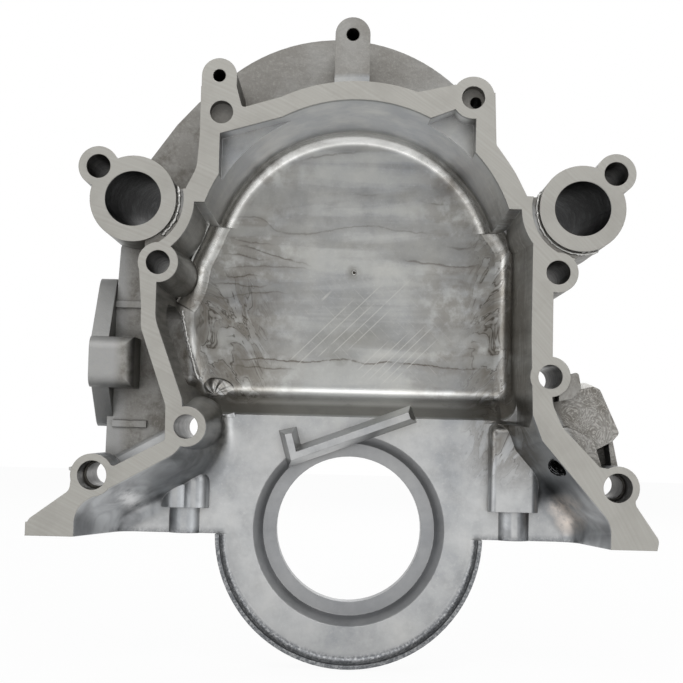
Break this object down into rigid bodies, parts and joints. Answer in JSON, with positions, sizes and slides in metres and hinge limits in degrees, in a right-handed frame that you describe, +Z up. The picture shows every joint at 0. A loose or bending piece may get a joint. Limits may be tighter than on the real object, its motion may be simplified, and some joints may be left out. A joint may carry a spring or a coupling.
{
  "type": "timing cover",
  "caption": "Cast aluminium timing cover with crankshaft seal housing, camshaft chamber, coolant ports, water pump seat and fuel pump pad.",
  "frame": {"origin": "on the crankshaft axis, in the plane of the block face", "axes": "+X to the right seen from the block, +Y forward along the crankshaft axis, away from the block, +Z up towards the camshaft"},
  "size_m": [0.2803, 0.071, 0.302],
  "materials": {
    "cast_aluminium": "die-cast skin with milled joint faces"
  },
  "bodies": {
    "root": {"timing_cover": "cast_aluminium"}
  },
  "joints": []
}
